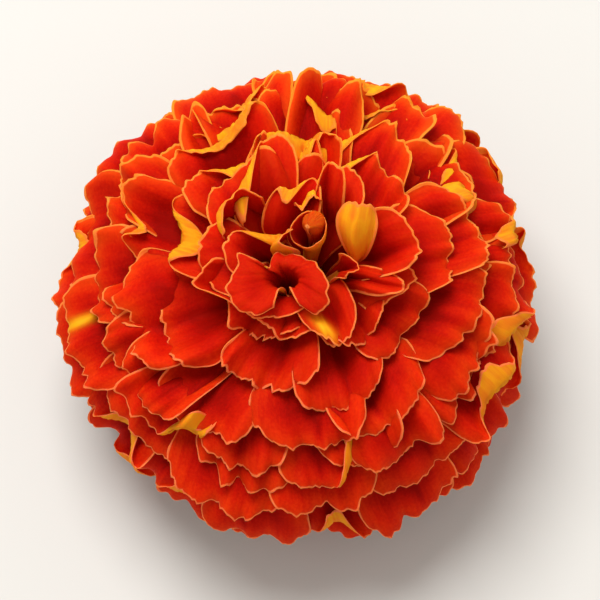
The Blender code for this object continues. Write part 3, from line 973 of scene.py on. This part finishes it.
carrier = bpy.data.objects.new("gland_carrier", calyx.data)
bpy.context.scene.collection.objects.link(carrier)
modifier = carrier.modifiers.new("Glands", "NODES")
modifier.node_group = glands_tree
for item in interface.items_tree:
    if item.in_out == "INPUT" and item.name in GLAND_INPUTS:
        modifier[item.identifier] = GLAND_INPUTS[item.name]
graph = bpy.context.evaluated_depsgraph_get()
glands_mesh = bpy.data.meshes.new_from_object(carrier.evaluated_get(graph), depsgraph=graph)
bpy.data.objects.remove(carrier, do_unlink=True)
glands = bpy.data.objects.new("calyx_oil_glands", glands_mesh)
bpy.context.scene.collection.objects.link(glands)
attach(glands, "root")

# ------------------------------------------------------------
# The stub of the stem: green, ribbed lengthwise and cut square across. The cut shows a pale ring of
# wood round the pith. It stays on the head when the flower is nipped off.
# ------------------------------------------------------------
STUB_LENGTH = 5.0
STUB_CUT_RADIUS = 2.05
STUB_TOP_RADIUS = 2.65
STUB_RIBS = 9
RIB_DEPTH = 0.055
angle = np.linspace(0.0, 2.0 * np.pi, STUB_RIBS * 10, endpoint=False)
ribs = 1.0 - RIB_DEPTH * np.abs(np.sin(0.5 * STUB_RIBS * angle)) ** 1.5
cut_profile = ((0.0, 0.12), (0.35, 0.06), (0.7, 0.02), (0.93, 0.0), (1.0, 0.12))
stub_rings = [(share * STUB_CUT_RADIUS, height) for share, height in cut_profile]
for share in np.linspace(0.1, 1.0, 12):
    flare = STUB_CUT_RADIUS + (STUB_TOP_RADIUS - STUB_CUT_RADIUS) * share**2.5
    stub_rings.append((flare, STUB_LENGTH * share))
stub_rings += [(0.5 * STUB_TOP_RADIUS, STUB_LENGTH), (0.0, STUB_LENGTH)]
ribbed_rings = []
for radius, height in stub_rings:
    ribbed_rings.append((radius * (ribs if radius > 0.8 * STUB_CUT_RADIUS else 1.0), height))
stub = ringed_piece("stem_stub_cut", ribbed_rings, angle)
stub.data.set_sharp_from_angle(angle=math.radians(50.0))

# Living stem: ribbed green skin outside; on the cut, a moist ring of wood round white pith.
STEM_FIBRE = (1 / 0.0003, 1 / 0.0003, 1 / 0.004)
CUT_LEVEL = 0.00013
stalk, tree, shader = new_material("living_stem", {"Roughness": 0.5})
place = add_node(tree, "ShaderNodeTexCoord").outputs["Object"]
axes = add_node(tree, "ShaderNodeSeparateXYZ", {0: place}).outputs
level = add_node(tree, "ShaderNodeCombineXYZ", {0: axes[0], 1: axes[1]}).outputs[0]
from_axis = add_node(tree, "ShaderNodeVectorMath", {0: level}, operation="LENGTH").outputs["Value"]
stretched = add_node(tree, "ShaderNodeMapping", {"Vector": place, "Scale": STEM_FIBRE}).outputs[0]
fibre = add_node(tree, "ShaderNodeTexNoise", {"Vector": stretched, "Scale": 1.0, "Detail": 3.0}).outputs[0]
skin = add_node(tree, "ShaderNodeValToRGB", {0: fibre}, stops=(
    (0.3, "#587F36"), (0.55, "#7D9F4C"), (0.75, "#9A8A55"))).outputs[0]
across_cut = add_node(tree, "ShaderNodeMapRange", {0: from_axis, 1: 0.0, 2: 0.0021}).outputs[0]
cut = add_node(tree, "ShaderNodeValToRGB", {0: across_cut}, stops=(
    (0.0, "#EDEFD6"), (0.55, "#DDE3B4"), (0.66, "#B9C77E"), (0.8, "#D6DCA6"), (0.95, "#7F9C4A"))).outputs[0]
is_cut = add_node(tree, "ShaderNodeMath", {0: axes[2], 1: CUT_LEVEL}, operation="LESS_THAN").outputs[0]
colour = add_node(tree, "ShaderNodeMix", {0: is_cut, 6: skin, 7: cut}, data_type="RGBA").outputs[2]
tree.links.new(colour, shader.inputs["Base Color"])
bump = add_node(tree, "ShaderNodeBump", {"Strength": 0.6, "Distance": 0.00006, "Height": fibre})
tree.links.new(bump.outputs[0], shader.inputs["Normal"])
stub.data.materials.append(stalk)
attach(stub, "root")
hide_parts("stem_stub")

# ------------------------------------------------------------
# The floor, the light and the camera. The light is that of a bright overcast day: broad, from above.
# ------------------------------------------------------------
FLOOR = 1.2
floor_mesh = bpy.data.meshes.new("floor")
floor_corners = [(-FLOOR, -FLOOR, 0), (FLOOR, -FLOOR, 0), (FLOOR, FLOOR, 0), (-FLOOR, FLOOR, 0)]
floor_mesh.from_pydata(floor_corners, [], [(0, 1, 2, 3)])
floor = bpy.data.objects.new("floor", floor_mesh)
bpy.context.scene.collection.objects.link(floor)
paper = new_material("pale_paper", {"Base Color": "#D2D0CB", "Roughness": 0.9})[0]
floor_mesh.materials.append(paper)

SKY_STRENGTH = 0.72
world = bpy.data.worlds.new("overcast")
world.use_nodes = True
background = world.node_tree.nodes["Background"]
background.inputs["Color"].default_value = linear("#F2EFEA")
background.inputs["Strength"].default_value = SKY_STRENGTH
bpy.context.scene.world = world

LAMP_PLACE = Vector((-0.12, 0.26, 0.70))
LAMP_SIZE = 0.42
LAMP_POWER = 5.7
light = bpy.data.lights.new("sky", "AREA")
light.shape = "DISK"
light.size = LAMP_SIZE
light.energy = LAMP_POWER
lamp = bpy.data.objects.new("sky", light)
lamp.location = LAMP_PLACE
lamp.rotation_mode = "QUATERNION"
head_middle = 0.5 * (cad_box[0] + cad_box[1])
lamp.rotation_quaternion = (head_middle - LAMP_PLACE).to_track_quat("-Z", "Y")
bpy.context.scene.collection.objects.link(lamp)
bpy.context.scene.view_settings.view_transform = "Standard"

CAMERA_ELEVATION = math.radians(75.0)
CAMERA_DISTANCE = 0.45
PICTURE_WIDTH = 0.0843
AIM_HEIGHT = 0.0215
SENSOR_WIDTH = 36.0
camera_data = bpy.data.cameras.new("camera")
camera = bpy.data.objects.new("camera", camera_data)
camera_data.lens = SENSOR_WIDTH * CAMERA_DISTANCE / PICTURE_WIDTH
back = Vector((0.0, -math.cos(CAMERA_ELEVATION), math.sin(CAMERA_ELEVATION)))
camera.location = Vector((0.0, 0.0, AIM_HEIGHT)) + CAMERA_DISTANCE * back
camera.rotation_mode = "QUATERNION"
camera.rotation_quaternion = (-back).to_track_quat("-Z", "Y")
bpy.context.scene.collection.objects.link(camera)
bpy.context.scene.camera = camera
